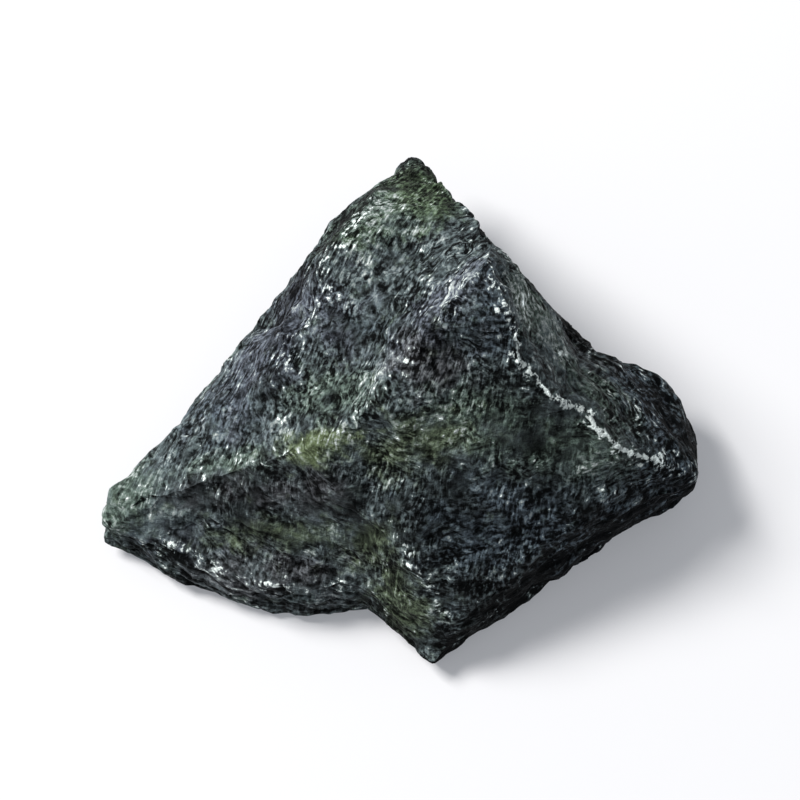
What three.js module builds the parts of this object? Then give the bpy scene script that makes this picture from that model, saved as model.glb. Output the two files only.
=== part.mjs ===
// A raw chunk of serpentinite, broken from the rock. It is one solid. Its fracture faces meet in a peak,
// a sharp ridge to the east, a soft one to the west and a spur to the south, and it rests on a flat one.
// Millimetres, +Z up, +X along the stone's length, origin at the centre of the box on the resting face.
import * as THREE from "three";
import { ImprovedNoise } from "three/addons/math/ImprovedNoise.js";

// Driving dimensions: the finished stone fills exactly this box.
const LENGTH = 48;
const WIDTH = 41;
const HEIGHT = 25;

// How fine the surface is and how it is softened.
const EDGE_LENGTH = 1.35; // longest edge of a facet, in millimetres
const RIDGE_WANDER = 0.05; // how far a ridge strays at each halving, as a share of the halved stretch
const FACE_PASSES = 90; // passes that stretch each fracture face between its ridges
const SOFT_PASSES = 3; // passes that wear the soft ridges down
const ROUNDING = 0.35; // how far every point is pulled towards its neighbours, ridges too
const WEAR = 0.3; // how far the finished relief is worn down between the sharp ridges
const CLEARANCE = 0.1; // least height of the walls' surface above the ground beside the resting face

// Relief in millimetres: how wide each kind of feature is, and how far it stands out.
const WARP = { size: 12, depth: 0.5 };
const LUMPS = { size: 4.5, depth: 0.25 };
const CHIPS = { size: 5.5, depth: 0.4, flatness: 1.6 };
const NICKS = { size: 2.6, depth: 0.7 };
const LEDGES = { pitch: 3.1, depth: 0.55, patch: 8 };
const FOLIATION = new THREE.Vector3(0.16, -0.1, 1).normalize(); // across the layers of the rock

// Corners of the fracture faces. x and y are shares of LENGTH and WIDTH from the centre, z of HEIGHT.
const CORNERS = {
  // the peak, the small ledge under it, and the ridge that falls to the east
  summit: [0.14, 0.17, 0.98],
  eastRidge1: [0.18, 0.05, 0.9],
  ledgeEast: [0.19, 0.01, 0.82],
  eastRidge2: [0.26, -0.06, 0.72],
  eastRidge3: [0.37, -0.13, 0.53],
  eastTip: [0.49, -0.13, 0.27],
  // the ridge that falls to the west
  westRidge1: [0.03, 0.05, 0.86],
  ledgeWest: [0.03, 0.02, 0.79],
  westRidge2: [-0.05, -0.07, 0.74],
  crossing: [-0.15, -0.14, 0.62],
  westRidge3: [-0.3, -0.16, 0.42],
  westTip: [-0.5, -0.2, 0.18],
  westShoulder: [-0.49, -0.15, 0.22],
  westToe: [-0.5, -0.23, 0.06],
  // the crease down the south face, the spur to the south tip, and the pocket and strip beside it
  heart: [0.03, -0.12, 0.69],
  spur1: [-0.01, -0.28, 0.5],
  spur2: [0.03, -0.35, 0.37],
  spur3: [0.08, -0.42, 0.22],
  southTip: [0.05, -0.48, 0.09],
  lip: [-0.09, -0.23, 0.53],
  pocket: [-0.06, -0.27, 0.35],
  strip: [-0.07, -0.32, 0.23],
  notch: [-0.06, -0.37, 0.05],
  // the brow over the south-east wall, and the wall's foot
  brow1: [0.33, -0.22, 0.38],
  brow2: [0.22, -0.3, 0.37],
  brow3: [0.12, -0.38, 0.28],
  sole1: [0.49, -0.13, 0.1],
  sole2: [0.35, -0.23, 0.08],
  sole3: [0.22, -0.34, 0.07],
  // the splintery sill above the south-west edge, and that edge
  sill1: [-0.43, -0.24, 0.13],
  sill2: [-0.33, -0.3, 0.16],
  sill3: [-0.23, -0.33, 0.19],
  sill4: [-0.12, -0.34, 0.19],
  skirt1: [-0.44, -0.26, 0.05],
  skirt2: [-0.33, -0.32, 0.05],
  skirt3: [-0.24, -0.35, 0.05],
  skirt4: [-0.15, -0.37, 0.05],
  // the north tip, the shoulder under it and the soft ridge down the west flank
  northTip: [0.04, 0.49, 0.3],
  northKnob: [0.01, 0.5, 0.27],
  shoulder: [-0.05, 0.37, 0.56],
  flankRidge1: [-0.12, 0.25, 0.64],
  flankRidge2: [-0.14, 0.13, 0.63],
  flankRidge3: [-0.2, 0.02, 0.57],
  flankRidge4: [-0.3, -0.09, 0.41],
  northWest1: [-0.03, 0.45, 0.3],
  northWest2: [-0.12, 0.37, 0.3],
  northWest3: [-0.25, 0.17, 0.2],
  northWest4: [-0.38, -0.03, 0.22],
  // the edge over the back wall, from the north tip past the peak to the east tip
  backEdge1: [0.07, 0.41, 0.48],
  backEdge2: [0.12, 0.34, 0.61],
  backEdge3: [0.15, 0.23, 0.8],
  eastEdge1: [0.2, 0.19, 0.66],
  eastEdge2: [0.27, 0.14, 0.48],
  eastEdge3: [0.33, 0.1, 0.37],
  eastEdge4: [0.43, 0.08, 0.22],
  eastEdge5: [0.47, 0.02, 0.17],
  eastEdge6: [0.5, -0.05, 0.16],
  // the broken step across the back wall
  backStep1: [0.08, 0.38, 0.3],
  backStep2: [0.18, 0.26, 0.4],
  backStep3: [0.31, 0.13, 0.19],
};

// Corners that have a foot on the ground below them, and how far in it lies, in millimetres.
const FEET = {
  westToe: 1.4,
  skirt1: 0.7,
  skirt2: 0.8,
  skirt3: 0.5,
  skirt4: 0.6,
  notch: 0.8,
  southTip: 1.3,
  sole3: 0.9,
  sole2: 1.2,
  sole1: 1.6,
  eastEdge6: 2,
  eastEdge5: 1.2,
  eastEdge4: 1.8,
  backStep3: 0.9,
  backStep2: 1.6,
  backStep1: 1.2,
  northTip: 3.4,
  northKnob: 3.4,
  northWest1: 2.6,
  northWest2: 0.9,
  northWest3: 2.2,
  northWest4: 1,
  westShoulder: 2.6,
};

// Fracture faces above the feet: corners anticlockwise seen from outside, and how far the middle swells
// out or sinks in, in millimetres.
const FACES = [
  { corners: "westRidge1 eastRidge1 summit", swell: 0.1 },
  { corners: "ledgeWest ledgeEast eastRidge1 westRidge1", swell: -0.3 },
  {
    corners:
      "crossing westRidge2 ledgeWest westRidge1 summit backEdge3 backEdge2 flankRidge1 " +
      "flankRidge2 flankRidge3 flankRidge4 westRidge3",
    swell: -0.5,
  },
  { corners: "flankRidge1 backEdge2 backEdge1 northTip northKnob northWest1 shoulder", swell: 0.5 },
  { corners: "flankRidge2 flankRidge1 shoulder northWest1 northWest2 northWest3", swell: 0.5 },
  {
    corners:
      "westRidge3 flankRidge4 flankRidge3 flankRidge2 northWest3 northWest4 westShoulder westTip",
    swell: 0.6,
  },
  { corners: "sill1 sill2 sill3 sill4 strip pocket lip crossing westRidge3 westTip", swell: -0.6 },
  { corners: "crossing lip spur1 heart westRidge2", swell: -0.7 },
  { corners: "lip pocket spur1", swell: -0.3 },
  { corners: "pocket strip notch southTip spur3 spur2 spur1", swell: 0.4 },
  {
    corners:
      "ledgeWest westRidge2 heart spur1 spur2 spur3 brow3 brow2 brow1 eastTip eastRidge3 " +
      "eastRidge2 ledgeEast",
    swell: 0.5,
  },
  { corners: "southTip sole3 brow2 brow3 spur3", swell: 0.4 },
  { corners: "sole3 sole2 sole1 eastTip brow1 brow2", swell: 0.4 },
  {
    corners: "eastRidge2 eastEdge3 eastEdge2 eastEdge1 summit eastRidge1 ledgeEast",
    swell: -0.3,
  },
  {
    corners: "eastRidge3 eastTip eastEdge6 eastEdge5 eastEdge4 eastEdge3 eastRidge2",
    swell: 0.6,
  },
  { corners: "eastEdge1 backEdge3 summit", swell: 0 },
  { corners: "backStep2 backStep1 northTip backEdge1 backEdge2 backEdge3", swell: -0.6 },
  { corners: "backStep3 backStep2 backEdge3 eastEdge1 eastEdge2 eastEdge3", swell: 0.5 },
  { corners: "eastEdge4 backStep3 eastEdge3", swell: 0 },
  { corners: "westToe skirt1 sill1 westTip", swell: 0.1 },
  { corners: "skirt1 skirt2 sill2 sill1", swell: 0 },
  { corners: "skirt2 skirt3 sill3 sill2", swell: 0.2 },
  { corners: "skirt3 skirt4 sill4 sill3", swell: 0.2 },
  { corners: "skirt4 notch strip sill4", swell: -0.2 },
];

// Walls from the feet up to these corners, anticlockwise seen from above.
const WALLS = [
  { rim: "westToe skirt1 skirt2", swell: 0 },
  { rim: "skirt2 skirt3 skirt4", swell: 0 },
  { rim: "skirt4 notch", swell: 0 },
  { rim: "notch southTip", swell: 0 },
  { rim: "southTip sole3", swell: 0 },
  { rim: "sole3 sole2 sole1", swell: 0 },
  { rim: "sole1 eastTip eastEdge6 eastEdge5", swell: 0.5 },
  { rim: "eastEdge5 eastEdge4 backStep3", swell: -0.5 },
  { rim: "backStep3 backStep2", swell: 0.7 },
  { rim: "backStep2 backStep1", swell: -0.4 },
  { rim: "backStep1 northTip northKnob northWest1", swell: 0.8 },
  { rim: "northWest1 northWest2", swell: 0.4 },
  { rim: "northWest2 northWest3", swell: -0.7 },
  { rim: "northWest3 northWest4", swell: 0.6 },
  { rim: "northWest4 westShoulder", swell: -0.3 },
  { rim: "westShoulder westTip westToe", swell: 0.2 },
];

// Ridges that are worn round, each a run of corners.
const SOFT_RIDGES = [
  "ledgeWest westRidge2 crossing westRidge3",
  "westRidge2 heart spur1",
  "crossing lip",
  "pocket strip",
  "ledgeWest ledgeEast",
  "brow1 brow2 brow3 spur3",
  "flankRidge1 flankRidge2 flankRidge3 flankRidge4 westRidge3",
  "backEdge2 flankRidge1 shoulder",
  "sill1 sill2 sill3 sill4",
];

const noise = new ImprovedNoise();

// Smooth noise between about -1 and 1, with swells of the given size. Each offset gives another noise.
function swells(point, size, offset) {
  return noise.noise(point.x / size + offset, point.y / size - offset, point.z / size + 2 * offset);
}

// A corner's place. A name that starts with "foot " is the foot below that corner.
function place(name) {
  if (name.startsWith("foot ")) {
    const above = name.slice("foot ".length);
    const foot = place(above).setZ(0);
    return foot.setLength(foot.length() - FEET[above]);
  }
  const [x, y, z] = CORNERS[name];
  return new THREE.Vector3(x * LENGTH, y * WIDTH, z * HEIGHT);
}

// Every face as its ring of corners: the fracture faces and the walls down to the feet.
function allFaces() {
  const faces = FACES.map(({ corners, swell }) => ({ ring: corners.split(" "), swell }));
  for (const { rim, swell } of WALLS) {
    const top = rim.split(" ");
    const feet = top.filter((name) => name in FEET).map((name) => `foot ${name}`);
    faces.push({ ring: [...feet, ...top.reverse()], swell });
  }
  return faces;
}

function edgeKey(a, b) {
  return a < b ? `${a} ${b}` : `${b} ${a}`;
}

// The coarse stone: each face is a fan of triangles round its middle, [corner, corner, middle, face].
// ridges says of each edge between two faces whether it is "sharp" or "soft".
function coarseStone(faces) {
  const names = [...new Set(faces.flatMap(({ ring }) => ring))];
  const points = names.map(place);
  const triangles = [];
  const ridges = new Map();
  faces.forEach(({ ring }, face) => {
    const corners = ring.map((name) => names.indexOf(name));
    const middle = new THREE.Vector3();
    corners.forEach((i) => middle.addScaledVector(points[i], 1 / corners.length));
    points.push(middle);
    corners.forEach((a, k) => {
      const b = corners[(k + 1) % corners.length];
      triangles.push([a, b, points.length - 1, face]);
      ridges.set(edgeKey(a, b), "sharp");
    });
  });
  for (const run of SOFT_RIDGES) {
    const corners = run.split(" ").map((name) => names.indexOf(name));
    corners.slice(1).forEach((b, k) => ridges.set(edgeKey(corners[k], b), "soft"));
  }
  return { points, triangles, ridges };
}

// Puts a point halfway along an edge. On a ridge it strays a little, and on the ground it stays there.
function halve({ points, ridges }, a, b) {
  const middle = points[a].clone().add(points[b]).multiplyScalar(0.5);
  const made = points.push(middle) - 1;
  const kind = ridges.get(edgeKey(a, b));
  if (kind) {
    ridges.set(edgeKey(a, made), kind);
    ridges.set(edgeKey(made, b), kind);
    const stray = RIDGE_WANDER * points[a].distanceTo(points[b]);
    const way = [11, 23, 37].map((offset) => swells(middle, 0.37, offset));
    const onGround = middle.z === 0;
    middle.addScaledVector(new THREE.Vector3(way[0], way[1], onGround ? 0 : way[2]), stray);
  }
  return made;
}

// Halves every edge longer than EDGE_LENGTH until none is left.
function split(stone) {
  const { points } = stone;
  let halved = true;
  while (halved) {
    halved = false;
    const middles = new Map();
    const middleOf = (a, b) => {
      const key = edgeKey(a, b);
      if (!middles.has(key)) {
        const long = points[a].distanceTo(points[b]) > EDGE_LENGTH;
        middles.set(key, long ? halve(stone, a, b) : -1);
        halved = halved || long;
      }
      return middles.get(key);
    };
    stone.triangles = stone.triangles.flatMap(([a, b, c, face]) =>
      cut([a, b, c], [middleOf(a, b), middleOf(b, c), middleOf(c, a)], points).map((piece) => [
        ...piece,
        face,
      ]),
    );
  }
}

// The triangles that one triangle turns into where its sides have middle points (-1 where they don't).
function cut([a, b, c], [ab, bc, ca], points) {
  const count = [ab, bc, ca].filter((i) => i >= 0).length;
  if (count === 0) return [[a, b, c]];
  if (count === 3) return [[a, ab, ca], [ab, b, bc], [ca, bc, c], [ab, bc, ca]];
  // Turn the triangle so that the side from c to a has no middle point, and with one, a to b has it.
  if (ca >= 0 || (count === 1 && ab < 0)) return cut([b, c, a], [bc, ca, ab], points);
  if (count === 1) return [[a, ab, c], [ab, b, c]];
  const across = points[a].distanceTo(points[bc]) < points[ab].distanceTo(points[c]);
  return across
    ? [[ab, b, bc], [a, ab, bc], [a, bc, c]]
    : [[ab, b, bc], [a, ab, c], [ab, bc, c]];
}

// Each point's neighbours.
function neighbours({ points, triangles }) {
  const around = points.map(() => new Set());
  for (const [a, b, c] of triangles) {
    around[a].add(b).add(c);
    around[b].add(c).add(a);
    around[c].add(a).add(b);
  }
  return around;
}

// Moves the points that moves(i) allows a share of the way to the mean of their neighbours.
function relax(points, around, moves, share, passes) {
  for (let pass = 0; pass < passes; pass++) {
    const moved = points.map((point, i) => {
      if (!moves(i)) return point.clone();
      const mean = new THREE.Vector3();
      around[i].forEach((j) => mean.addScaledVector(points[j], 1 / around[i].size));
      return point.clone().lerp(mean, share);
    });
    moved.forEach((point, i) => points[i].copy(point));
  }
}

// Outward normals: of each point, and of each face.
function normals({ points, triangles }, faces) {
  const ofPoint = points.map(() => new THREE.Vector3());
  const ofFace = faces.map(() => new THREE.Vector3());
  for (const [a, b, c, face] of triangles) {
    const side = points[b].clone().sub(points[a]);
    const normal = side.cross(points[c].clone().sub(points[a]));
    [a, b, c].forEach((i) => ofPoint[i].add(normal));
    ofFace[face].add(normal);
  }
  [...ofPoint, ...ofFace].forEach((normal) => normal.normalize());
  return { ofPoint, ofFace };
}

// Swells or sinks the middle of each face, by how many steps a point lies in from the ridges.
function swellFaces(stone, faces, around, onRidge) {
  const steps = stone.points.map((_, i) => (onRidge.has(i) ? 0 : Infinity));
  let edge = [...onRidge.keys()];
  while (edge.length > 0) {
    const next = new Set();
    for (const i of edge) {
      for (const j of around[i]) {
        if (steps[j] === Infinity) next.add(j);
      }
    }
    next.forEach((j) => (steps[j] = steps[edge[0]] + 1));
    edge = [...next];
  }
  const faceOf = new Map();
  const deepest = faces.map(() => 1);
  for (const [a, b, c, face] of stone.triangles) {
    for (const i of [a, b, c]) {
      faceOf.set(i, face);
      deepest[face] = Math.max(deepest[face], steps[i]);
    }
  }
  const { ofFace } = normals(stone, faces);
  stone.points.forEach((point, i) => {
    const face = faceOf.get(i);
    const rise = 1 - (1 - steps[i] / deepest[face]) ** 2;
    point.addScaledVector(ofFace[face], faces[face].swell * rise);
  });
}

// The rock breaks in flat chips: each cell of a jumbled grid is one chip, tilted its own way.
function chips(point) {
  const { size, flatness } = CHIPS;
  const at = point.clone().divideScalar(size);
  at.z *= flatness;
  const cell = at.clone().floor();
  let nearest = Infinity;
  let height = 0;
  for (let k = 0; k < 27; k++) {
    const step = new THREE.Vector3((k % 3) - 1, (Math.floor(k / 3) % 3) - 1, Math.floor(k / 9) - 1);
    const { x, y, z } = step.add(cell);
    THREE.MathUtils.seededRandom(7349 * x + 9151 * y + 6353 * z);
    const random = () => THREE.MathUtils.seededRandom();
    const seed = new THREE.Vector3(x + random(), y + random(), z + random());
    const tilt = new THREE.Vector3(random() - 0.5, random() - 0.5, random() - 0.5);
    const from = at.clone().sub(seed);
    if (from.length() < nearest) {
      nearest = from.length();
      height = 2 * tilt.dot(from) + random() - 0.5;
    }
  }
  return height;
}

// The flat resting face: triangles across the ring of edges that the walls leave open on the ground.
function restingFace(points, triangles, grounded) {
  const next = new Map();
  for (const [a, b, c] of triangles) {
    for (const [from, to] of [[a, b], [b, c], [c, a]]) {
      if (grounded[from] && grounded[to]) next.set(from, to);
    }
  }
  const [start] = next.keys();
  const ring = [start];
  for (let i = next.get(start); i !== start; i = next.get(i)) {
    ring.push(i);
  }
  const outline = ring.map((i) => new THREE.Vector2(points[i].x, points[i].y));
  return THREE.ShapeUtils.triangulateShape(outline, []).map((corners) => {
    const [a, b, c] = corners.map((i) => outline[i]);
    const facesUp = b.clone().sub(a).cross(c.clone().sub(a)) > 0;
    const downwards = facesUp ? corners.toReversed() : corners;
    return downwards.map((i) => ring[i]);
  });
}

// How far the rock's surface stands out at a point, with its chips and the ledges of its layers.
function relief(point, normal) {
  const { smoothstep } = THREE.MathUtils;
  const level = (point.dot(FOLIATION) + swells(point, 9, 5)) / LEDGES.pitch;
  const tread = 1 - smoothstep(level - Math.floor(level), 0.6, 1);
  const patch = smoothstep(swells(point, LEDGES.patch, 17), -0.3, 0.25);
  const across = 1 - Math.abs(normal.dot(FOLIATION)) ** 2; // ledges show where a face cuts the layers
  return (
    WARP.depth * swells(point, WARP.size, 3) +
    LUMPS.depth * swells(point, LUMPS.size, 7) +
    CHIPS.depth * chips(point) +
    LEDGES.depth * (tread - 0.7) * patch * across
  );
}

// How far a sharp ridge is broken back at a point.
function nick(point) {
  return NICKS.depth * Math.max(0, swells(point, NICKS.size, 29));
}

// Fits the stone to the driving box, with its resting face on z = 0.
function fit(points) {
  const box = new THREE.Box3().setFromPoints(points);
  const size = box.getSize(new THREE.Vector3());
  const middle = box.getCenter(new THREE.Vector3());
  for (const point of points) {
    point.x = ((point.x - middle.x) * LENGTH) / size.x;
    point.y = ((point.y - middle.y) * WIDTH) / size.y;
    point.z = (point.z * HEIGHT) / box.max.z;
  }
}

function makeStone() {
  const faces = allFaces();
  const stone = coarseStone(faces);
  split(stone);
  const { points, triangles, ridges } = stone;
  const around = neighbours(stone);
  const onRidge = new Map(); // point on a ridge: true where a sharp ridge passes
  for (const [key, kind] of ridges) {
    const ends = key.split(" ").map(Number);
    ends.forEach((i) => onRidge.set(i, kind === "sharp" || onRidge.get(i) === true));
  }
  const grounded = points.map((point) => point.z === 0);
  relax(points, around, (i) => !onRidge.has(i), 0.8, FACE_PASSES);
  swellFaces(stone, faces, around, onRidge);
  relax(points, around, (i) => onRidge.get(i) !== true, 0.5, SOFT_PASSES);
  relax(points, around, (i) => !grounded[i], ROUNDING, 1);
  const { ofPoint } = normals(stone, faces);
  const out = points.map((point, i) => {
    return relief(point, ofPoint[i]) - (onRidge.get(i) === true ? nick(point) : 0);
  });
  points.forEach((point, i) => {
    if (!grounded[i]) point.addScaledVector(ofPoint[i], out[i]);
    point.z = grounded[i] ? 0 : Math.max(CLEARANCE, point.z);
  });
  relax(points, around, (i) => onRidge.get(i) !== true && !grounded[i], WEAR, 1);
  fit(points);
  const geometry = new THREE.BufferGeometry().setFromPoints(points);
  const walls = triangles.map(([a, b, c]) => [a, b, c]);
  geometry.setIndex([...walls, ...restingFace(points, triangles, grounded)].flat());
  geometry.computeVertexNormals();
  return geometry;
}

const serpentinite = new THREE.MeshStandardMaterial({
  color: 0x2f3a34,
  roughness: 0.62,
  metalness: 0,
});

const stone = new THREE.Mesh(makeStone(), serpentinite);
stone.name = "stone";

const part = new THREE.Group();
part.add(stone);

export default part;
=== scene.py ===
import heapq
import math

import bpy
import numpy as np
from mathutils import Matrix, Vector, noise


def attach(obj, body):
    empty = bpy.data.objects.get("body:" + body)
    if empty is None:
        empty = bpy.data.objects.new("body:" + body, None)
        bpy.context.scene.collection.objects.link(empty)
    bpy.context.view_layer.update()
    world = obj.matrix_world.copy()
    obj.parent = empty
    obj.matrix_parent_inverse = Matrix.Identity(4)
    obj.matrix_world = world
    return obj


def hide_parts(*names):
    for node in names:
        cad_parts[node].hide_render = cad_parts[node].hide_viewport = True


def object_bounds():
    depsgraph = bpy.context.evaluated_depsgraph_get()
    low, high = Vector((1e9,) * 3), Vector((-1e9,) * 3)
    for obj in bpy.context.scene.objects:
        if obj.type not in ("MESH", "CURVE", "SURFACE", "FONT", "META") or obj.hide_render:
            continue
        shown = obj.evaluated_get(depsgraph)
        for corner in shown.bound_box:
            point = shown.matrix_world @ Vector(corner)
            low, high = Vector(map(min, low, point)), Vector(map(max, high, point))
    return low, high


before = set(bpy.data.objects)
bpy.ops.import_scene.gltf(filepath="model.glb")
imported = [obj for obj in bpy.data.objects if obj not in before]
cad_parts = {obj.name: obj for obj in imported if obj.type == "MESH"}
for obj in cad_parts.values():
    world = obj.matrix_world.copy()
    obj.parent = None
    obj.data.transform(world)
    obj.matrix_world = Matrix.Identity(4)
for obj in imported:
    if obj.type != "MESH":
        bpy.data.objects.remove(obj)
CAD_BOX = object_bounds()

NOISE_SEED = 7
noise.seed_set(NOISE_SEED)  # without a seed, noise_vector differs from run to run

MM = 0.001
LOW, HIGH = (np.array(corner) for corner in CAD_BOX)
SIZE = HIGH - LOW

# The rock's layers lie across this direction. They show as ledges and streaks where a face cuts them.
FOLIATION = Vector((0.16, -0.1, 1)).normalized()

# A steep joint runs through the rock across this direction.
JOINT = Vector((0.8, -0.5, 0.35)).normalized()

# Surface relief in millimetres, from the largest to the smallest: how wide and how far out.
CHIPS = [(3.2, 0.26), (1.6, 0.12)]
LEDGES = [(1.6, 0.20), (0.9, 0.10)]
SPLINTERS = (1.1, 0.16)
PITS = (2.6, 0.15)
GROUND_FADE = 0.8  # the relief dies away this far above the resting face

# Bends across an edge in degrees. A CAD edge is rounded off under the first and stays over the second.
# In the finished mesh an edge over the third is shaded as a sharp one.
SOFT_BEND, CRISP_BEND, SHARP_BEND = 14, 34, 45

MERGE_GRID = 0.002  # CAD points that round to the same place on this grid, in mm, are one point

# Hollows are measured in mm from a surface smoothed many times, edges and dents from one smoothed a few
# times. Each begins to show at its first measure and shows fully at its second.
# Hollows and dents darken the colour as painted shade.
BROAD_PASSES, FINE_PASSES = 30, 4
HOLLOW_SHADE_DEPTH = (0.1, 0.6)
EDGE_HEIGHT = (0.012, 0.06)

# Patches on the stone. Each is a place in shares of the stone's box (x and y from its middle, z from its
# foot), how far it reaches along x, y and z in millimetres, and how strong it is.
BLUE = [
    ((-0.28, 0.00, 0.36), (8, 6, 6), 0.6),
    ((0.16, -0.27, 0.42), (8, 4, 6), 0.9),
    ((0.43, -0.03, 0.30), (5, 5, 6), 0.9),
    ((0.35, 0.02, 0.40), (3, 3, 4), 0.5),
    ((0.30, -0.27, 0.20), (11, 4, 5), 0.9),
    ((0.14, 0.17, 0.98), (3, 3, 3), 0.8),
    ((0.14, 0.04, 0.86), (3, 2, 4), 1.0),
    ((0.43, -0.16, 0.20), (5, 3, 5), 1.0),
    ((-0.04, 0.10, 0.66), (4, 4, 5), 0.3),
]
VIOLET = [
    ((0.09, 0.14, 0.92), (2.5, 2.5, 4), 0.9),
    ((0.04, 0.06, 0.86), (3.0, 3.0, 4), 1.0),
    ((-0.22, 0.09, 0.46), (5.0, 5.0, 5), 1.0),
    ((-0.19, 0.19, 0.44), (3.0, 4.0, 4), 0.8),
    ((-0.28, -0.03, 0.40), (4.0, 4.0, 5), 0.5),
    ((-0.10, 0.12, 0.58), (3.0, 4.0, 5), 0.6),
    ((-0.34, -0.27, 0.12), (5.0, 2.0, 4), 0.8),
    ((0.02, -0.02, 0.78), (2.6, 2.6, 4), 0.6),
]
BROWN = [
    ((-0.22, -0.20, 0.33), (9.0, 2.0, 4), 0.9),
    ((-0.12, -0.21, 0.45), (3.0, 1.4, 4), 0.8),
    ((-0.20, -0.33, 0.12), (9.0, 2.0, 4), 1.0),
    ((0.02, 0.00, 0.80), (2.4, 2.4, 4), 0.9),
    ((0.08, -0.03, 0.76), (3.5, 1.8, 4), 0.8),
    ((0.31, 0.10, 0.40), (3.5, 3.5, 4), 0.8),
    ((0.05, 0.42, 0.20), (6.0, 3.0, 4), 0.6),
]
GREEN = [
    ((-0.07, 0.32, 0.60), (5.0, 3.5, 7), 0.9),
    ((0.03, 0.42, 0.45), (4.5, 4.0, 9), 1.0),
    ((-0.10, -0.05, 0.64), (5.0, 2.6, 5), 1.0),
    ((0.12, -0.10, 0.70), (5.0, 3.0, 5), 0.9),
    ((0.22, 0.12, 0.72), (3.5, 3.5, 5), 1.0),
    ((0.32, -0.01, 0.52), (3.4, 3.0, 4), 0.9),
    ((0.28, -0.14, 0.52), (6.0, 2.6, 5), 1.0),
    ((-0.48, -0.18, 0.20), (4.0, 3.5, 5), 1.0),
    ((-0.25, -0.15, 0.43), (6.0, 1.4, 3), 0.9),
    ((0.15, 0.28, 0.30), (9.0, 6.0, 5), 0.6),
    ((-0.35, 0.10, 0.12), (8.0, 6.0, 4), 0.6),
]
MOSS = [
    ((0.03, 0.41, 0.46), (3.4, 3.0, 6), 1.0),
    ((0.05, 0.33, 0.58), (2.6, 2.4, 5), 0.8),
    ((-0.08, 0.26, 0.64), (2.4, 1.6, 5), 0.6),
]
OLIVE = [
    ((0.06, -0.13, 0.64), (3.5, 2.4, 5), 0.9),
    ((-0.02, -0.17, 0.62), (2.6, 2.0, 5), 0.8),
    ((0.00, -0.36, 0.22), (2.4, 5.0, 5), 1.0),
    ((0.04, -0.42, 0.14), (2.0, 2.0, 3), 0.6),
    ((-0.04, -0.30, 0.30), (2.6, 1.6, 5), 1.0),
    ((-0.20, -0.27, 0.24), (6.5, 1.4, 4), 0.9),
    ((-0.25, 0.22, 0.12), (8.0, 5.0, 4), 0.5),
]
LIME = [
    ((-0.16, -0.15, 0.60), (2.8, 1.7, 3), 1.0),
    ((-0.10, -0.14, 0.66), (2.4, 1.4, 3), 0.5),
]

SLATE = (0.71, 0.94, 1.00)  # the rock's own grey, which shows between the hues

# The hues over the slate grey, in the order they lie: name, tint, size of its frays in mm, places.
HUES = [
    ("blue", (0.67, 0.92, 1.15), 3.0, BLUE),
    ("violet", (0.79, 0.93, 1.18), 2.4, VIOLET),
    ("brown", (0.86, 0.93, 1.03), 2.6, BROWN),
    ("green", (0.69, 1.00, 0.84), 2.2, GREEN),
    ("moss", (0.64, 1.00, 0.55), 1.5, MOSS),
    ("olive", (0.74, 1.00, 0.62), 1.8, OLIVE),
    ("lime", (0.74, 1.00, 0.47), 1.6, LIME),
]
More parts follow.
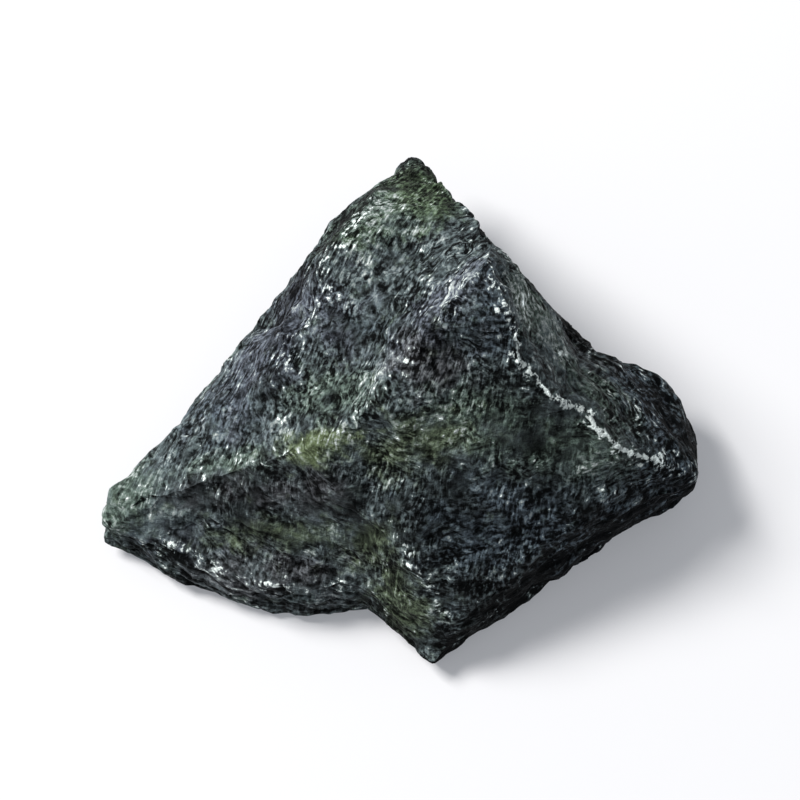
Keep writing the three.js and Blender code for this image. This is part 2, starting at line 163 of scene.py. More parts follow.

# Where the rock is lighter or darker: partly the rock's own tone, partly painted light and shade.
TONES_AND_PAINTED_LIGHT = [
    # the peak and the face under it
    ((0.14, 0.17, 0.98), (3, 3, 3), 0.7),
    ((0.14, 0.09, 0.86), (3, 2, 3), 0.3),
    # painted shadow of the ledge under the peak
    ((0.12, -0.02, 0.79), (2.6, 2, 3), -0.65),
    ((0.05, -0.13, 0.66), (5, 2.6, 5), 1.0),
    ((0.25, -0.14, 0.60), (3, 2, 4), -1.2),
    ((0.29, -0.17, 0.49), (3, 1.6, 4), 2.2),
    ((0.28, -0.23, 0.38), (4.5, 2, 4), -0.8),
    ((0.17, -0.28, 0.42), (7, 4, 5), -0.4),
    # the shoulder and the north tip
    ((-0.04, 0.30, 0.58), (6, 5, 7), 0.6),
    ((-0.045, 0.34, 0.54), (2.5, 2, 4), 1.4),
    ((0.03, 0.41, 0.46), (2.5, 2.5, 4), -0.5),
    ((0.03, 0.48, 0.34), (1.3, 1.3, 4), -1.2),
    # the west face
    ((-0.06, 0.21, 0.63), (1.6, 2, 3), 1.6),
    ((0.07, 0.10, 0.88), (2.5, 2.5, 3), 0.8),
    ((-0.03, -0.03, 0.74), (2.4, 2.4, 3), 0.8),
    ((-0.03, 0.10, 0.65), (4, 4, 5), -0.35),
    ((-0.15, 0.11, 0.54), (2, 2, 3), 0.6),
    ((-0.16, -0.10, 0.58), (5, 3, 5), 0.45),
    # the flank beyond it; its darker patches are painted shade
    ((-0.22, 0.09, 0.46), (4, 4, 5), 0.6),
    ((-0.17, 0.24, 0.42), (3, 5, 3), -1.2),
    ((-0.10, 0.34, 0.46), (2.5, 3, 3), -2.0),
    ((-0.22, 0.15, 0.40), (2, 4, 3), -0.7),
    # the west tip, the low ridge and the face south of it
    ((-0.46, -0.18, 0.22), (5, 5, 5), 1.25),
    ((-0.25, -0.155, 0.43), (5, 1, 2), 0.5),
    ((-0.39, -0.20, 0.22), (3, 2, 3), 0.7),
    # painted shadow along the foot of the low ridge and in the pocket by the spur
    ((-0.22, -0.20, 0.35), (8, 1.6, 3), -0.5),
    ((-0.12, -0.21, 0.45), (3, 1.2, 4), -0.8),
    ((-0.07, -0.25, 0.42), (2.2, 1.6, 3), -1.0),
    # the splintered wall below and the strip beside it
    ((-0.36, -0.25, 0.15), (3, 1.5, 3), -0.3),
    ((-0.22, -0.33, 0.12), (9, 1.6, 3), 0.2),
    ((-0.09, -0.34, 0.10), (2.5, 1.5, 3), 2.3),
    ((-0.09, -0.265, 0.32), (2.5, 1.2, 3), 1.6),
    ((-0.04, -0.30, 0.30), (2, 1.5, 3), 0.2),
    ((0.02, -0.39, 0.18), (2, 2.2, 3), 0.8),
    ((0.045, -0.43, 0.14), (1.8, 1.6, 3), 1.1),
    # the north-east face and the knob at the east end
    ((0.20, 0.13, 0.80), (2.4, 2.4, 3), 1.9),
    ((0.235, 0.07, 0.64), (3, 3, 4), 2.2),
    ((0.31, 0.00, 0.52), (3, 3, 4), 0.5),
    ((0.35, 0.01, 0.42), (3, 3, 4), 0.5),
    # painted shade along the outer north-east edge
    ((0.30, 0.10, 0.42), (3, 3, 4), -0.9),
    # the knob darker, partly its own colour and partly painted shade
    ((0.42, -0.03, 0.32), (5, 4, 6), -1.3),
]

# Where the rock broke smooth, so that its grain shows less.
CALM = [
    ((0.22, -0.12, 0.58), (9.0, 3.5, 8), 1.0),
    ((0.08, -0.22, 0.55), (4.0, 3.0, 6), 0.7),
    ((-0.22, -0.20, 0.33), (9.0, 2.5, 5), 1.0),
    ((-0.26, -0.25, 0.24), (9.0, 2.2, 4), 0.7),
    ((-0.08, -0.26, 0.38), (3.5, 2.5, 5), 1.0),
    ((0.25, 0.07, 0.60), (4.0, 5.0, 8), 0.4),
    ((0.00, -0.37, 0.22), (3.0, 5.0, 5), 0.8),
    ((-0.15, -0.15, 0.60), (3.0, 2.0, 4), 0.6),
    ((0.02, 0.38, 0.48), (4.0, 4.0, 7), 0.4),
    ((0.42, -0.02, 0.30), (5.0, 6.0, 6), -0.9),
    ((-0.25, 0.02, 0.42), (6.0, 7.0, 6), 0.5),
    ((-0.44, -0.18, 0.22), (4.0, 4.0, 5), 0.8),
]

# Where the rock is splintered along its layers.
SPLINTER = [
    ((-0.38, -0.29, 0.08), (5, 2.4, 3), 1.0),
    ((-0.25, -0.34, 0.10), (5, 2.2, 3), 1.0),
    ((-0.12, -0.35, 0.10), (4, 2.2, 3), 1.0),
    ((0.20, 0.25, 0.20), (9, 7, 4), 0.8),
    ((-0.30, 0.12, 0.10), (9, 7, 2.5), 0.8),
    ((0.35, -0.22, 0.15), (9, 6, 2.5), 0.5),
]

MOST_TONE = 2.5  # the light patches together count for no more than this

# The ridges that part the broken faces, as runs of places in shares of the stone's box.
RIDGES = {
    "east": [
        (0.14, 0.17, 0.98),
        (0.18, 0.05, 0.90),
        (0.26, -0.06, 0.72),
        (0.37, -0.13, 0.53),
        (0.49, -0.13, 0.27),
    ],
    "brink": [(0.14, 0.17, 0.98), (0.18, 0.05, 0.90), (0.21, 0.02, 0.83)],
    "crest": [(0.21, 0.02, 0.83), (0.26, -0.06, 0.72), (0.37, -0.13, 0.53), (0.44, -0.13, 0.38)],
    "west": [(0.14, 0.17, 0.98), (0.03, 0.05, 0.86), (-0.05, -0.07, 0.74), (-0.10, -0.11, 0.68)],
    "low": [(-0.15, -0.14, 0.62), (-0.30, -0.16, 0.42), (-0.42, -0.19, 0.26)],
    "shoulder": [(-0.01, 0.43, 0.48), (-0.05, 0.37, 0.56), (-0.12, 0.25, 0.64)],
    "flank": [(-0.05, 0.37, 0.56), (-0.12, 0.25, 0.64), (-0.14, 0.13, 0.63), (-0.20, 0.02, 0.57)],
    "back": [(0.15, 0.23, 0.80), (0.20, 0.19, 0.66), (0.27, 0.14, 0.48), (0.33, 0.10, 0.37)],
    "sill": [(-0.43, -0.24, 0.13), (-0.33, -0.30, 0.16), (-0.23, -0.33, 0.19), (-0.12, -0.34, 0.19)],
    "brow": [(0.08, -0.45, 0.12), (0.22, -0.34, 0.20), (0.35, -0.24, 0.20), (0.48, -0.14, 0.16)],
    "spur": [(-0.01, -0.28, 0.50), (0.03, -0.35, 0.37), (0.08, -0.42, 0.22)],
    "strip": [(-0.07, -0.32, 0.23), (-0.05, -0.38, 0.15), (0.03, -0.46, 0.10)],
}

# Ridges that are rubbed pale: how far the rub reaches in mm and how strong it is.
RUBS = [
    ("east", 1.3, 0.8),
    ("crest", 1.0, 1.0),
    ("west", 1.2, 0.4),
    ("low", 1.5, 0.4),
    ("flank", 1.3, 0.6),
    ("back", 0.8, 0.5),
    ("sill", 1.0, 0.8),
    ("spur", 0.6, 0.8),
    ("strip", 0.6, 0.4),
]

# Painted light and shade on the faces beside a ridge, one side lit and the other shaded: how far that
# reaches in mm, how much on the left and on the right.
PAINTED_LIGHT_BANKS = [
    ("east", 2.0, 1.1, -0.2),
    ("west", 2.6, -0.9, 0.7),
    ("low", 1.8, -0.8, 0.3),
    ("shoulder", 1.9, -0.2, -2.0),
    ("flank", 2.2, 0.2, -0.8),
    ("back", 1.4, -1.6, 0.4),
    ("spur", 1.6, -0.6, 0.5),
    ("strip", 1.0, 0.3, -0.4),
]

CREST_REACH = 0.34  # how far from the crest its white line reaches, in mm
BRINK_REACH, BRINK_STRENGTH = 0.6, 0.55  # the fainter line above the crest
WALL_SHADE_REACH = 4.0  # how far the painted shade on the steep wall reaches below the brow, in mm
FOOT_SHADE_HEIGHT = (0.5, 5)  # the painted shade at the stone's foot is darkest under the first height and none over the second


def spot(share):
    """The place in metres of a place in shares of the stone's box."""
    middle = np.array([(LOW[0] + HIGH[0]) / 2, (LOW[1] + HIGH[1]) / 2, LOW[2]])
    return middle + np.array(share) * SIZE


def smoothstep(value, low, high):
    t = np.clip((value - low) / (high - low), 0, 1)
    return t * t * (3 - 2 * t)


# ---------------------------------------------------------------- the stone's mesh


def cad_triangles(node):
    """Points and triangles of a CAD node, with the points that its facets share merged."""
    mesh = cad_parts[node].data
    mesh.calc_loop_triangles()
    co = np.empty(len(mesh.vertices) * 3)
    mesh.vertices.foreach_get("co", co)
    corners = np.empty(len(mesh.loop_triangles) * 3, np.int32)
    mesh.loop_triangles.foreach_get("vertices", corners)
    grid = np.round(co.reshape(-1, 3) / (MERGE_GRID * MM)).astype(np.int64)
    _, first, merged = np.unique(grid, axis=0, return_index=True, return_inverse=True)
    return co.reshape(-1, 3)[first], merged.reshape(-1)[corners].reshape(-1, 3)


def edges_of(triangles):
    """Every edge once, and for each triangle the numbers of its edges ab, bc and ca."""
    sides = np.concatenate([triangles[:, [0, 1]], triangles[:, [1, 2]], triangles[:, [2, 0]]])
    edges, which = np.unique(np.sort(sides, axis=1), axis=0, return_inverse=True)
    return edges, which.reshape(3, -1).T


def face_normals(points, triangles):
    a, b, c = (points[triangles[:, k]] for k in range(3))
    normal = np.cross(b - a, c - a)
    return normal / np.maximum(np.linalg.norm(normal, axis=1, keepdims=True), 1e-20)


def point_normals(points, triangles):
    a, b, c = (points[triangles[:, k]] for k in range(3))
    flat = np.cross(b - a, c - a)
    total = np.zeros_like(points)
    for k in range(3):
        np.add.at(total, triangles[:, k], flat)
    return total / np.maximum(np.linalg.norm(total, axis=1, keepdims=True), 1e-20)


def smooth(values, edges, weight, passes):
    """Moves each row of values towards the mean of its neighbours, by its weight, some times."""
    count = np.zeros(len(values))
    np.add.at(count, edges[:, 0], 1)
    np.add.at(count, edges[:, 1], 1)
    values = values.copy()
    for _ in range(passes):
        total = np.zeros_like(values)
        np.add.at(total, edges[:, 0], values[edges[:, 1]])
        np.add.at(total, edges[:, 1], values[edges[:, 0]])
        mean = (total.T / count).T
        values += ((mean - values).T * weight).T
    return values


def edge_bends(points, triangles):
    """Every edge once, and the bend across it in degrees: above 0 on a ridge, below 0 in a valley."""
    edges, of_triangle = edges_of(triangles)
    pair = np.zeros((len(edges), 2), int)
    filled = np.zeros(len(edges), int)
    for face, sides in enumerate(of_triangle):
        for side in sides:
            pair[side, filled[side]] = face
            filled[side] += 1
    first, second = pair.T
    normal = face_normals(points, triangles)
    middle = points[triangles].mean(axis=1)
    bend = np.degrees(np.arccos(np.clip((normal[first] * normal[second]).sum(axis=1), -1, 1)))
    falls = ((middle[second] - middle[first]) * normal[first]).sum(axis=1) < 0
    return edges, np.where(falls, bend, -bend)


def sharpness(count, edges, bend):
    """How sharp the sharpest edge at each point is: 0 on a smooth stretch, 1 on a crisp ridge."""
    sharp = np.zeros(count)
    for k in range(2):
        np.maximum.at(sharp, edges[:, k], smoothstep(np.abs(bend), SOFT_BEND, CRISP_BEND))
    return sharp


def ridge_line(points, edges, bend, run):
    """The crispest way along the mesh's edges that follows a run of places."""
    aside, _ = from_line(points, [spot(share) for share in run])
    length = np.linalg.norm(points[edges[:, 0]] - points[edges[:, 1]], axis=1)
    cost = length * (1.1 - smoothstep(bend, 4, 30)) * (1 + aside[edges].mean(axis=1) ** 2)
    ways = [[] for _ in points]
    for (a, b), price in zip(edges.tolist(), cost.tolist()):
        ways[a].append((b, price))
        ways[b].append((a, price))
    start, goal = (int(np.linalg.norm(points - spot(run[k]), axis=1).argmin()) for k in (0, -1))
    best = {start: 0.0}
    came_from = {}
    queue = [(0.0, start)]
    while queue:
        so_far, here = heapq.heappop(queue)
        if here == goal:
            break
        for there, price in ways[here]:
            if so_far + price < best.get(there, math.inf):
                best[there] = so_far + price
                came_from[there] = here
                heapq.heappush(queue, (best[there], there))
    line = [goal]
    while line[-1] != start:
        line.append(came_from[line[-1]])
    return points[line[::-1]]


def refine(points, triangles, sharp):
    """Cuts each triangle into four and rounds the new surface, but not its crisp ridges."""
    edges, of_triangle = edges_of(triangles)
    a, b, c = triangles.T
    ab, bc, ca = (len(points) + of_triangle).T
    quarters = [(a, ab, ca), (ab, b, bc), (ca, bc, c), (ab, bc, ca)]
    finer = np.concatenate([np.stack(quarter, axis=1) for quarter in quarters])
    points = np.concatenate([points, points[edges].mean(axis=1)])
    sharp = np.concatenate([sharp, sharp[edges].min(axis=1)])
    weight = 0.5 * (1 - 0.85 * sharp)
    weight[points[:, 2] < LOW[2] + 0.01 * MM] = 0
    new_edges, _ = edges_of(finer)
    return smooth(points, new_edges, weight, 1), finer, sharp


def chip_height(point, size):
    """The rock breaks in flat chips: each cell of a jumbled grid is one chip, tilted its own way."""
    at = point / (size * MM)
    at += 0.35 * noise.noise_vector(at * 1.7)
    at += FOLIATION * (0.7 * at.dot(FOLIATION))  # chips are flatter across the layers
    distances, seeds = noise.voronoi(at)
    height = total = 0.0
    for distance, seed in zip(distances, seeds):
        share = math.exp(-9 * (distance**2 - distances[0] ** 2))
        tilt = noise.cell_vector(seed * 7.31) - Vector((0.5, 0.5, 0.5))
        height += share * (1.8 * tilt.dot(at - seed) + 0.7 * (noise.cell(seed * 3.17) - 0.5))
        total += share
    return height / total


def splinter_height(point, size):
    """Sharp-crested splinters that lie along the layers."""
    level = point.dot(FOLIATION) / MM + 1.2 * noise.noise(point / (4 * MM))
    at = point * (0.35 / (size * MM)) + Vector((0, 0, level / size))
    return 0.5 - abs(noise.noise(at)) - 0.6 * abs(noise.noise(at * 2.1 + Vector((5, 3, 8))))


def ledge_height(point, across, pitch):
    """Broken edges of the rock's layers, in patches."""
    level = point.dot(FOLIATION) / (pitch * MM) + 0.9 * noise.noise(point / (4.5 * MM))
    step = level - math.floor(level)
    tread = 1 - max(0.0, min(1.0, (step - 0.7) / 0.3))
    patch = 0.5 + 1.3 * noise.noise(point / (3.8 * MM) + Vector((pitch, 7, 3)))
    return (tread - 0.75) * max(0.0, min(1.0, patch)) * across


def relief(point, normal, splinter):
    """How far the fine surface stands out at a point, in millimetres."""
    across = (1 - normal.dot(FOLIATION) ** 2) * (1 + 1.6 * splinter)
    out = 0.0
    for size, depth in CHIPS:
        out += depth * chip_height(point, size)
    for pitch, depth in LEDGES:
        out += depth * ledge_height(point, across, pitch)
    size, depth = SPLINTERS
    out += depth * (1 + splinter) * splinter_height(point, size)
    size, depth = PITS
    distances, _ = noise.voronoi(point / (size * MM) + Vector((3, 9, 1)))
    out -= depth * max(0.0, 1 - distances[0] / 0.22) ** 0.7
    return out


def convexity(points, triangles, passes):
    """How far each point stands out from the smoothed surface round it, in millimetres."""
    edges, _ = edges_of(triangles)
    flat = smooth(points, edges, 0.6, passes)
    return ((points - flat) * point_normals(flat, triangles)).sum(axis=1) / MM


def from_line(points, line):
    """How far each point is from a line in millimetres, and on which side: 1 left, -1 right."""
    nearest = np.full(len(points), np.inf)
    side = np.zeros(len(points))
    for start, end in zip(line, line[1:]):
        along = end - start
        t = np.clip((points - start) @ along / (along @ along), 0, 1)
        away = points - start - t[:, None] * along
        far = np.linalg.norm(away, axis=1) / MM
        nearer = far < nearest
        nearest[nearer] = far[nearer]
        side[nearer] = np.sign(along[0] * away[:, 1] - along[1] * away[:, 0])[nearer]
    return nearest, side


def falling(away, reach):
    """1 at no distance, falling away over the reach."""
    return np.exp(-((away / reach) ** 2))


def patches(points, places, most=1.0):
    """The sum of soft patches at places, each (share, reach in mm, strength)."""
    total = np.zeros(len(points))
    for share, reach, strength in places:
        away = (points - spot(share)) / (np.array(reach) * MM)
        total += strength * np.exp(-(away**2).sum(axis=1))
    return np.minimum(total, most)


def add_relief(points, triangles, sharp):
    """The points moved out and in by the fine relief, and fitted to the CAD box again."""
    normals = point_normals(points, triangles)
    splinter = patches(points, SPLINTER)
    out = [relief(Vector(p), Vector(n), s) for p, n, s in zip(points, normals, splinter)]
    height = (points[:, 2] - LOW[2]) / MM
    fade = smoothstep(height, 0, GROUND_FADE) * (1 - 0.5 * sharp)
    points = points + normals * (np.array(out) * fade * MM)[:, None]
    points[:, 2] = np.maximum(points[:, 2], LOW[2])
    low, high = points.min(axis=0), points.max(axis=0)
    return LOW + (points - low) * SIZE / (high - low)


def surface_fields(points, relieved, triangles, ridges):
    """The values at each point that the material reads."""
    steep = 1 - np.abs(point_normals(points, triangles)[:, 2])
    height = (points[:, 2] - LOW[2]) / MM
    broad = convexity(points, triangles, BROAD_PASSES)
    fine = convexity(relieved, triangles, FINE_PASSES)
    away = {name: from_line(points, line) for name, line in ridges.items()}
    rubs = [strength * falling(away[name][0], reach) for name, reach, strength in RUBS]
    crest = falling(away["crest"][0], CREST_REACH)
    brink = BRINK_STRENGTH * falling(away["brink"][0], BRINK_REACH)
    painted_light_banks = np.zeros(len(points))
    for name, reach, left, right in PAINTED_LIGHT_BANKS:
        far, side = away[name]
        painted_light_banks += falling(far, reach) * np.where(side > 0, left, right)
    fields = {
        # painted shade in hollows and dents
        "painted_hollow_shade": smoothstep(-broad, *HOLLOW_SHADE_DEPTH),
        "edge": smoothstep(fine, *EDGE_HEIGHT),
        "painted_dent_shade": smoothstep(-fine, *EDGE_HEIGHT),
        "rub": np.max(rubs, axis=0),
        "crest": np.maximum(crest, brink),
        # painted light and shade on the faces beside the ridges
        "painted_light_banks": painted_light_banks,
        # painted shade on the steep walls near the ground
        "painted_foot_shade": smoothstep(steep, 0.25, 0.7) * (1 - smoothstep(height, *FOOT_SHADE_HEIGHT)),
        # painted shade on the steep wall below the brow
        "painted_wall_shade": smoothstep(steep, 0.3, 0.6) * falling(away["brow"][0], WALL_SHADE_REACH),
        "splinter": patches(points, SPLINTER),
        # tone patches, partly the rock's own tone and partly painted light and shade
        "tone_with_painted_light": patches(points, TONES_AND_PAINTED_LIGHT, most=MOST_TONE),
        "calm": patches(points, CALM),
    }
    for name, _, _, places in HUES:
        fields[name] = patches(points, places)
    return fields


def make_stone():
    points, triangles = cad_triangles("stone")
    edges, bend = edge_bends(points, triangles)
    ridges = {name: ridge_line(points, edges, bend, run) for name, run in RIDGES.items()}
    sharp = sharpness(len(points), edges, bend)
    for _ in range(2):
        points, triangles, sharp = refine(points, triangles, sharp)
    relieved = add_relief(points, triangles, sharp)
    mesh = bpy.data.meshes.new("serpentinite_stone")
    mesh.from_pydata(relieved.tolist(), [], triangles.tolist())
    mesh.polygons.foreach_set("use_smooth", [True] * len(mesh.polygons))
    mesh.set_sharp_from_angle(angle=math.radians(SHARP_BEND))
    for name, values in surface_fields(points, relieved, triangles, ridges).items():
        layer = mesh.attributes.new(name, "FLOAT", "POINT")
        layer.data.foreach_set("value", values.astype(np.float32))
    stone = bpy.data.objects.new("serpentinite_stone", mesh)
    bpy.context.scene.collection.objects.link(stone)
    return stone


# ---------------------------------------------------------------- the stone's material

# How wide the swells of the material's noises are, in millimetres.
FIBRE_SIZE, SCRATCH_SIZE, FLAKE_SIZE = 0.24, 0.26, 0.5
GRAIN_SIZE, RAGGED_SIZE, MOTTLE_SIZE, PATCHY_SIZE, WIDE_SIZE = 0.42, 0.8, 1.0, 2.2, 3.2
LAYER_SWELL = (5.0, 0.8)  # how wide the waves in the layers are, and how high
JOINT_SWELL = (4.0, 0.6)  # the same for the joint
STREAK_SQUEEZE, FLAKE_SQUEEZE = 0.24, 0.06  # lengths along a streak or a flake are squeezed to this share

# How light the rock is on an even scale from black (0) to white (1), and what each field adds to that.
# The power turns the even scale into light.
ROCK_TONE, DARKEST_TONE, TONE_POWER = 0.232, 0.07, 2.2
# Besides the rock's own tone, these fields carry painted light and shade: the tone patches in part, the
# ridge banks, hollows, dents, the foot and the steep wall.
TONE_WEIGHTS = [
    ("tone_with_painted_light", 0.10),
    ("painted_light_banks", 0.06),
    ("edge", 0.06),
    ("painted_dent_shade", -0.05),
    ("painted_hollow_shade", -0.06),
    ("painted_foot_shade", -0.07),
    ("painted_wall_shade", -0.22),
]

WHITE_TINT = (0.90, 1.0, 0.98)  # of crushed rock and anything else that is as light
BUMP_STRENGTH, BUMP_HEIGHT = 0.8, 0.32  # the finest grain is bump, its height in mm


class Nodes:
    """Builds a material's nodes. Most calls return the output socket that the next one takes."""

    def __init__(self, name):
        self.material = bpy.data.materials.new(name)
        self.material.use_nodes = True
        self.tree = self.material.node_tree
        self.shader = self.tree.nodes["Principled BSDF"]

    def set(self, socket, value):
        if isinstance(value, bpy.types.NodeSocket):
            self.tree.links.new(value, socket)
        else:
            socket.default_value = value

    def add(self, kind, inputs, output=0, **settings):
        node = self.tree.nodes.new("ShaderNode" + kind)
        for name, value in settings.items():
            setattr(node, name, value)
        for name, value in inputs.items():
            self.set(node.inputs[name], value)
        return node.outputs[output]

    def maths(self, operation, a, b=0.0):
        return self.add("Math", {0: a, 1: b}, operation=operation)

    def band(self, value, low, high, to_low=0.0, to_high=1.0):
        """value mapped from low..high to to_low..to_high, smoothly and no further."""
        inputs = {"Value": value, "From Min": low, "From Max": high, "To Min": to_low, "To Max": to_high}
        return self.add("MapRange", inputs, interpolation_type="SMOOTHSTEP")

    def field(self, name):
        return self.add("Attribute", {}, output="Fac", attribute_name=name)

    def noise(self, at, size, detail=4.0, roughness=0.55, distortion=0.0):
        """Noise about 0 with swells of the given size."""
        inputs = {"Vector": at, "Scale": 1 / size, "Detail": detail}
        inputs |= {"Roughness": roughness, "Distortion": distortion}
        return self.maths("SUBTRACT", self.add("TexNoise", inputs), 0.5)

    def mix(self, share, a, b):
        """Colour a, or b by the share."""
        node = self.tree.nodes.new("ShaderNodeMix")
        node.data_type = "RGBA"
        self.set(node.inputs[0], share)
        self.set(node.inputs[6], a)
        self.set(node.inputs[7], b)
        return node.outputs[2]

    def total(self, start, *terms):
        """start and every value of terms times its weight."""
        for value, weight in terms:
            start = self.add("Math", {0: value, 1: weight, 2: start}, operation="MULTIPLY_ADD")
        return start


def colour(red, green, blue):
    return (red, green, blue, 1.0)


def serpentinite():
    n = Nodes("serpentinite")
    place = n.add("TexCoord", {}, output="Object")
    at = n.add("VectorMath", {0: place, 3: 1 / MM}, operation="SCALE")  # in millimetres

    # Coordinates squeezed along the layers, so that a noise read there runs in streaks along them.
    level = n.add("VectorMath", {0: at, 1: tuple(FOLIATION)}, output="Value", operation="DOT_PRODUCT")
    swell, height = LAYER_SWELL
    level = n.total(level, (n.noise(at, swell, detail=2.0), height))
    squeezed = n.add("VectorMath", {0: at, 3: STREAK_SQUEEZE}, operation="SCALE")
    upright = n.add("CombineXYZ", {"Z": level})
    layers = n.add("VectorMath", {0: squeezed, 1: upright}, operation="ADD")
    fibre = n.noise(layers, FIBRE_SIZE, detail=2.5, roughness=0.6)

    # The splintered edges of the layers, longer still.
    flat = n.add("VectorMath", {0: at, 3: FLAKE_SQUEEZE}, operation="SCALE")
    flakes = n.add("VectorMath", {0: flat, 1: upright}, operation="ADD")
    bands = n.noise(flakes, FLAKE_SIZE, detail=2.0)

    # Scratches and splinters also run along a steep joint, north-east to south-west.
    across = n.add("VectorMath", {0: at, 1: tuple(JOINT)}, output="Value", operation="DOT_PRODUCT")
    swell, height = JOINT_SWELL
    across = n.total(across, (n.noise(at, swell, detail=2.0), height))
    shifted = n.add("CombineXYZ", {"X": across})
    joints = n.add("VectorMath", {0: squeezed, 1: shifted}, operation="ADD")
    scratch = n.noise(joints, SCRATCH_SIZE, detail=2.5, roughness=0.6)

    grain = n.noise(at, GRAIN_SIZE, detail=2.5, roughness=0.6)
    mottle = n.noise(at, MOTTLE_SIZE, detail=3.0, roughness=0.6)
    wide = n.noise(at, WIDE_SIZE, detail=3.0)

    # The grain of the rock, stronger in some patches and weaker where it broke smooth. It runs along the
    # joint in some places and along the layers in others, as its splinters do.
    layered = n.band(n.noise(at, LAYER_SWELL[0], detail=2.0), -0.02, 0.02)
    layered = n.maths("MAXIMUM", layered, n.field("splinter"))
    turned = n.total(fibre, (scratch, -1.0))
    streak = n.add("Math", {0: turned, 1: layered, 2: scratch}, operation="MULTIPLY_ADD")
    coarse = n.band(n.total(0.0, (grain, 1.0), (streak, 0.5)), -0.05, 0.07, -0.045, 0.045)
    even = n.total(coarse, (grain, 0.60))
    even = n.maths("MULTIPLY", even, n.total(1.0, (n.field("splinter"), -0.6)))
    texture = n.total(even, (fibre, 0.15), (streak, 0.70))
    patchy = n.noise(at, PATCHY_SIZE, detail=2.0)
    texture = n.maths("MULTIPLY", texture, n.total(1.0, (n.field("calm"), -0.55), (patchy, 2.4)))
    rough = n.maths("POWER", math.e, n.total(0.0, (texture, 2.0), (mottle, 1.0)))

    # How light the rock is, painted light and shade included.
    tone_with_painted_light = n.total(ROCK_TONE, (wide, 0.35))
    tone_with_painted_light = n.total(tone_with_painted_light, *((n.field(name), weight) for name, weight in TONE_WEIGHTS))
    tone_with_painted_light = n.total(tone_with_painted_light, (n.maths("MULTIPLY", bands, n.field("splinter")), 1.2))
    tone_with_painted_light = n.total(n.maths("MULTIPLY", tone_with_painted_light, rough), (texture, 0.5), (mottle, 0.25))

    # White crushed rock: a broken line on the sharpest ridge, and flecks, thick by the rubbed ridges.
    ragged = n.noise(at, RAGGED_SIZE, detail=5.0, roughness=0.7)
    crushed = n.total(
        0.0,
        (n.field("rub"), 0.20),
        (n.field("calm"), -0.04),
        (patchy, 0.3),
        (streak, 0.8),
        (grain, 0.7),
        (ragged, 0.6),
    )
    broken = n.total(0.82, (ragged, 2.6), (grain, 2.6), (streak, 1.6))
    line = n.maths("MULTIPLY", n.field("crest"), broken)
    white = n.band(crushed, 0.21, 0.29, 0.0, 0.85)
    white = n.maths("MAXIMUM", white, n.band(line, 0.40, 0.64, 0.0, 1.12))
    scraped = n.band(n.total(0.0, (scratch, 1.0), (ragged, 0.3)), 0.06, 0.15)
    tone_with_painted_light = n.total(tone_with_painted_light, (white, 0.46), (scraped, 0.07))

    # The hue: slate grey under patches of the other hues, with frayed edges.
    tint = colour(*SLATE)
    shares = {}
    for name, hue, size, _ in HUES:
        frayed = n.noise(at, size, detail=5.0, roughness=0.65, distortion=0.4)
        shares[name] = n.band(n.total(0.0, (n.field(name), 1.0), (frayed, 2.4)), 0.15, 1.0)
        tint = n.mix(shares[name], tint, colour(*hue))
    tone_with_painted_light = n.total(tone_with_painted_light, (shares["lime"], 0.17))  # lime is the palest
    tint = n.mix(n.band(tone_with_painted_light, 0.34, 0.65), tint, colour(*WHITE_TINT))

    light = n.maths("POWER", n.maths("MAXIMUM", tone_with_painted_light, DARKEST_TONE), TONE_POWER)
    base = n.add("VectorMath", {0: tint, 3: light}, operation="SCALE")
    n.set(n.shader.inputs["Base Color"], base)
    n.set(n.shader.inputs["Roughness"], n.band(tone_with_painted_light, 0.1, 0.5, 0.55, 0.85))
    n.set(n.shader.inputs["Specular IOR Level"], n.band(tone_with_painted_light, 0.05, 0.4, 0.03, 0.22))

    fine = n.total(0.0, (grain, 1.0), (fibre, 0.8), (ragged, 1.0))
    bump = n.add("Bump", {"Strength": BUMP_STRENGTH, "Distance": BUMP_HEIGHT * MM, "Height": fine})
    n.set(n.shader.inputs["Normal"], bump)
    return n.material


# ---------------------------------------------------------------- floor, light and camera

FLOOR_REACH = 3.0  # metres from the stone to the floor's edge
FLOOR_TINT, FLOOR_GLOW_TINT, FLOOR_GLOW = (0.56, 0.56, 0.57), (0.90, 0.93, 1.0), 0.22

# The camera looks from far off, in metres, through a long lens, in millimetres.
CAMERA_ELEVATION = math.radians(74)
CAMERA_DISTANCE = 0.7
CAMERA_TARGET = (0, 0, 0.3)  # in shares of the stone's box
CAMERA_LENS, CAMERA_SENSOR = 392, 36

# A soft lamp to the upper left, in metres and watts, and an even sky.
KEY_PLACE, KEY_SIZE, KEY_POWER = (-0.58, 0.30, 0.74), 0.35, 15.0
KEY_TINT = (1.0, 0.985, 0.965)
SKY_TINT, SKY_STRENGTH = (0.93, 0.96, 1.0), 0.36


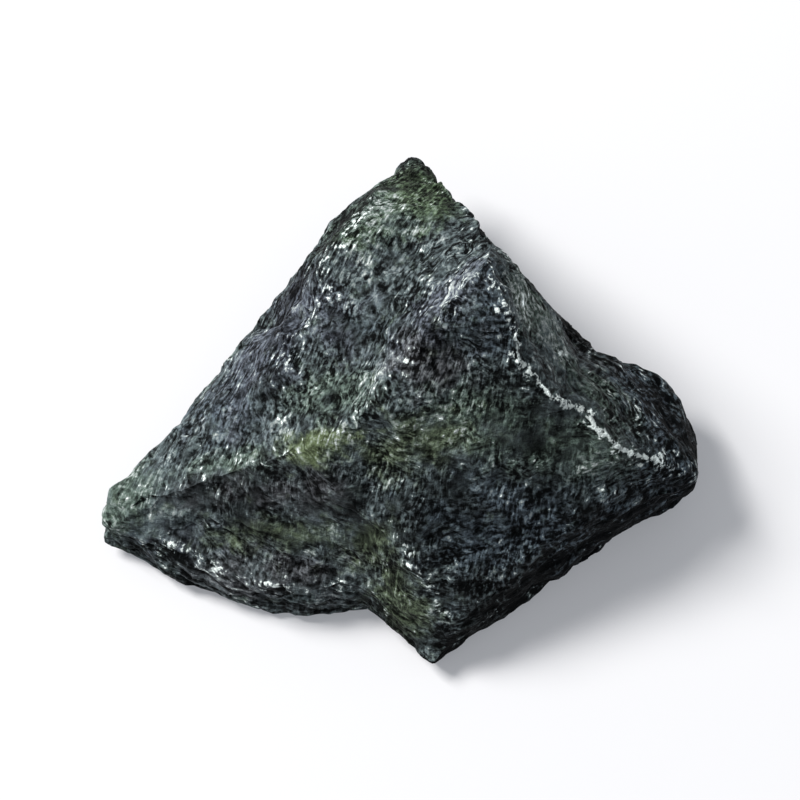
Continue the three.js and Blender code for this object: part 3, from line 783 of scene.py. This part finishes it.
def make_floor():
    material = bpy.data.materials.new("paper_white")
    material.use_nodes = True
    shader = material.node_tree.nodes["Principled BSDF"]
    shader.inputs["Base Color"].default_value = colour(*FLOOR_TINT)
    shader.inputs["Roughness"].default_value = 0.9
    shader.inputs["Specular IOR Level"].default_value = 0.1
    shader.inputs["Emission Color"].default_value = colour(*FLOOR_GLOW_TINT)
    shader.inputs["Emission Strength"].default_value = FLOOR_GLOW
    mesh = bpy.data.meshes.new("floor")
    corners = [(FLOOR_REACH * x, FLOOR_REACH * y, 0) for x, y in ((-1, -1), (1, -1), (1, 1), (-1, 1))]
    mesh.from_pydata(corners, [], [(0, 1, 2, 3)])
    mesh.materials.append(material)
    floor = bpy.data.objects.new("floor", mesh)
    bpy.context.scene.collection.objects.link(floor)


def make_light():
    light = bpy.data.lights.new("key", "AREA")
    light.shape = "SQUARE"
    light.size = KEY_SIZE
    light.energy = KEY_POWER
    light.color = KEY_TINT
    lamp = bpy.data.objects.new("key", light)
    lamp.location = KEY_PLACE
    lamp.rotation_euler = (-Vector(KEY_PLACE)).to_track_quat("-Z", "Y").to_euler()
    bpy.context.scene.collection.objects.link(lamp)


def make_world():
    world = bpy.data.worlds.new("studio")
    world.use_nodes = True
    background = world.node_tree.nodes["Background"]
    background.inputs["Color"].default_value = colour(*SKY_TINT)
    background.inputs["Strength"].default_value = SKY_STRENGTH
    bpy.context.scene.world = world


def make_camera():
    """Looks down on the stone, a little from its south side, from far off."""
    data = bpy.data.cameras.new("camera")
    data.sensor_width = CAMERA_SENSOR
    data.lens = CAMERA_LENS
    data.clip_start = 0.01
    camera = bpy.data.objects.new("camera", data)
    target = Vector(spot(CAMERA_TARGET))
    back = Vector((0, -math.cos(CAMERA_ELEVATION), math.sin(CAMERA_ELEVATION)))
    camera.location = target + back * CAMERA_DISTANCE
    camera.rotation_euler = back.to_track_quat("Z", "Y").to_euler()
    bpy.context.scene.collection.objects.link(camera)
    bpy.context.scene.camera = camera


stone = make_stone()
stone.data.materials.append(serpentinite())
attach(stone, "root")
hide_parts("stone")

make_floor()
make_light()
make_world()
make_camera()
bpy.context.scene.view_settings.view_transform = "Standard"
